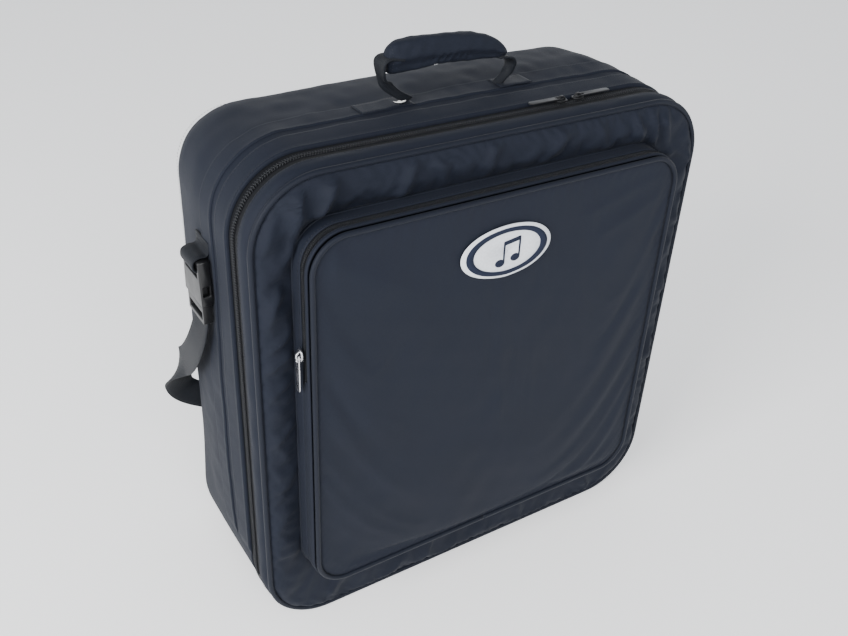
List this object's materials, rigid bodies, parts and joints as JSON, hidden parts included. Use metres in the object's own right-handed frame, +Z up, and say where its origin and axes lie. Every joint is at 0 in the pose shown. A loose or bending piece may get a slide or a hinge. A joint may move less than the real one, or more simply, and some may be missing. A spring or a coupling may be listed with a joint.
{
  "type": "padded gig bag",
  "caption": "Padded square gig bag with a zipped fold-down lid, a zipped lid pocket, a padded top handle and a shoulder strap on side-release buckles.",
  "frame": {"origin": "centre of the flat underside of the base", "axes": "+Z up, -Y towards the lid and its pocket, +X to the right seen from the lid"},
  "size_m": [0.5424, 0.2532, 0.5691],
  "materials": {
    "shell": "coarse plain-weave polyester, matt with a faint sheen",
    "trim": "woven binding, matt",
    "foam": "closed-cell foam, matt",
    "lining": "thin plain-weave nylon",
    "tape": "knitted zip tape, matt",
    "coil": "moulded nylon coil, satin",
    "webbing": "ribbed polypropylene webbing",
    "buckle": "moulded acetal, satin",
    "metal": "nickel-plated zinc, worn bright",
    "badge": "woven patch, slightly raised",
    "tag": "smooth woven ribbon"
  },
  "bodies": {
    "case": {"gusset_skin": "shell", "gusset_foam": "foam", "gusset_lining": "lining", "base_skin": "shell", "base_foam": "foam", "base_lining": "lining", "back_skin": "shell", "back_foam": "foam", "back_lining": "lining", "rear_piping": "trim", "trim_band": "trim", "storm_flap": "shell", "skirt_corner_left": "shell", "skirt_corner_right": "shell", "skirt_panel": "shell", "skirt_piping": "trim", "zip_tape_body": "tape", "zip_coil_body": "coil", "handle_anchor_left": "webbing", "handle_anchor_right": "webbing", "care_tag": "tag"},
    "lid": {"lid_skin": "shell", "lid_foam": "foam", "lid_lining": "lining", "lid_gusset": "shell", "lid_gusset_foam": "foam", "lid_piping": "trim", "zip_tape_lid": "tape", "zip_coil_lid": "coil", "pocket_rear_gusset": "shell", "pocket_lower_gusset": "shell", "pocket_lower_panel": "shell", "pocket_lower_piping": "trim", "pocket_tape_lid": "tape", "pocket_coil_lid": "coil"},
    "pocket_flap": {"pocket_flap_gusset": "shell", "pocket_flap_panel": "shell", "pocket_flap_piping": "trim", "pocket_tape_flap": "tape", "pocket_coil_flap": "coil", "badge": "badge"},
    "main_slider_left": {"main_slider_left": "metal"},
    "main_slider_right": {"main_slider_right": "metal"},
    "main_puller_left": {"main_puller_left": "metal"},
    "main_puller_right": {"main_puller_right": "metal"},
    "pocket_slider": {"pocket_slider": "metal"},
    "pocket_puller": {"pocket_puller": "metal"},
    "handle": {"handle_webbing": "webbing", "grip_wrap": "shell"},
    "strap_buckles": {"strap_tab_left": "webbing", "strap_tab_right": "webbing", "buckle_female_left": "buckle", "buckle_female_right": "buckle"},
    "shoulder_strap": {"buckle_male_left": "buckle", "buckle_male_right": "buckle", "strap_webbing": "webbing", "strap_adjuster_left": "buckle", "strap_adjuster_right": "buckle", "shoulder_pad": "shell"}
  },
  "joints": [
    {"name": "lid_hinge", "type": "hinge", "parent": "case", "child": "lid", "pos_m": [0, -0.1023, 0.035], "axis": [1, 0, 0], "range_deg": [0, 90]},
    {"name": "pocket_flap_hinge", "type": "hinge", "parent": "lid", "child": "pocket_flap", "pos_m": [0, -0.1334, 0.32], "axis": [-1, 0, 0], "range_deg": [-100, 0]},
    {"name": "main_slider_left_travel", "type": "slide", "parent": "case", "child": "main_slider_left", "axis": [-1, 0, 0], "range_m": [0, 0.255]},
    {"name": "main_slider_right_travel", "type": "slide", "parent": "case", "child": "main_slider_right", "axis": [1, 0, 0], "range_m": [0, 0.06]},
    {"name": "main_puller_left_flip", "type": "hinge", "parent": "main_slider_left", "child": "main_puller_left", "pos_m": [0.086, -0.07, 0.5144], "axis": [0, 1, 0], "range_deg": [0, 150]},
    {"name": "main_puller_right_flip", "type": "hinge", "parent": "main_slider_right", "child": "main_puller_right", "pos_m": [0.106, -0.07, 0.5144], "axis": [0, -1, 0], "range_deg": [0, 150]},
    {"name": "pocket_slider_travel", "type": "slide", "parent": "lid", "child": "pocket_slider", "axis": [0, 0, 1], "range_m": [-0.02, 0.073]},
    {"name": "pocket_puller_flip", "type": "hinge", "parent": "pocket_slider", "child": "pocket_puller", "pos_m": [-0.2144, -0.1185, 0.349], "axis": [0, 1, 0], "range_deg": [0, 150]},
    {"name": "handle_fold", "type": "hinge", "parent": "case", "child": "handle", "pos_m": [0, -0.015, 0.5125], "axis": [1, 0, 0], "range_deg": [-72, 72]},
    {"name": "strap_swing", "type": "hinge", "parent": "case", "child": "strap_buckles", "pos_m": [0, -0.002, 0.413], "axis": [1, 0, 0], "range_deg": [0, 165]},
    {"name": "strap_release", "type": "slide", "parent": "strap_buckles", "child": "shoulder_strap", "axis": [0, 0, -1], "range_m": [0, 0.034]}
  ]
}
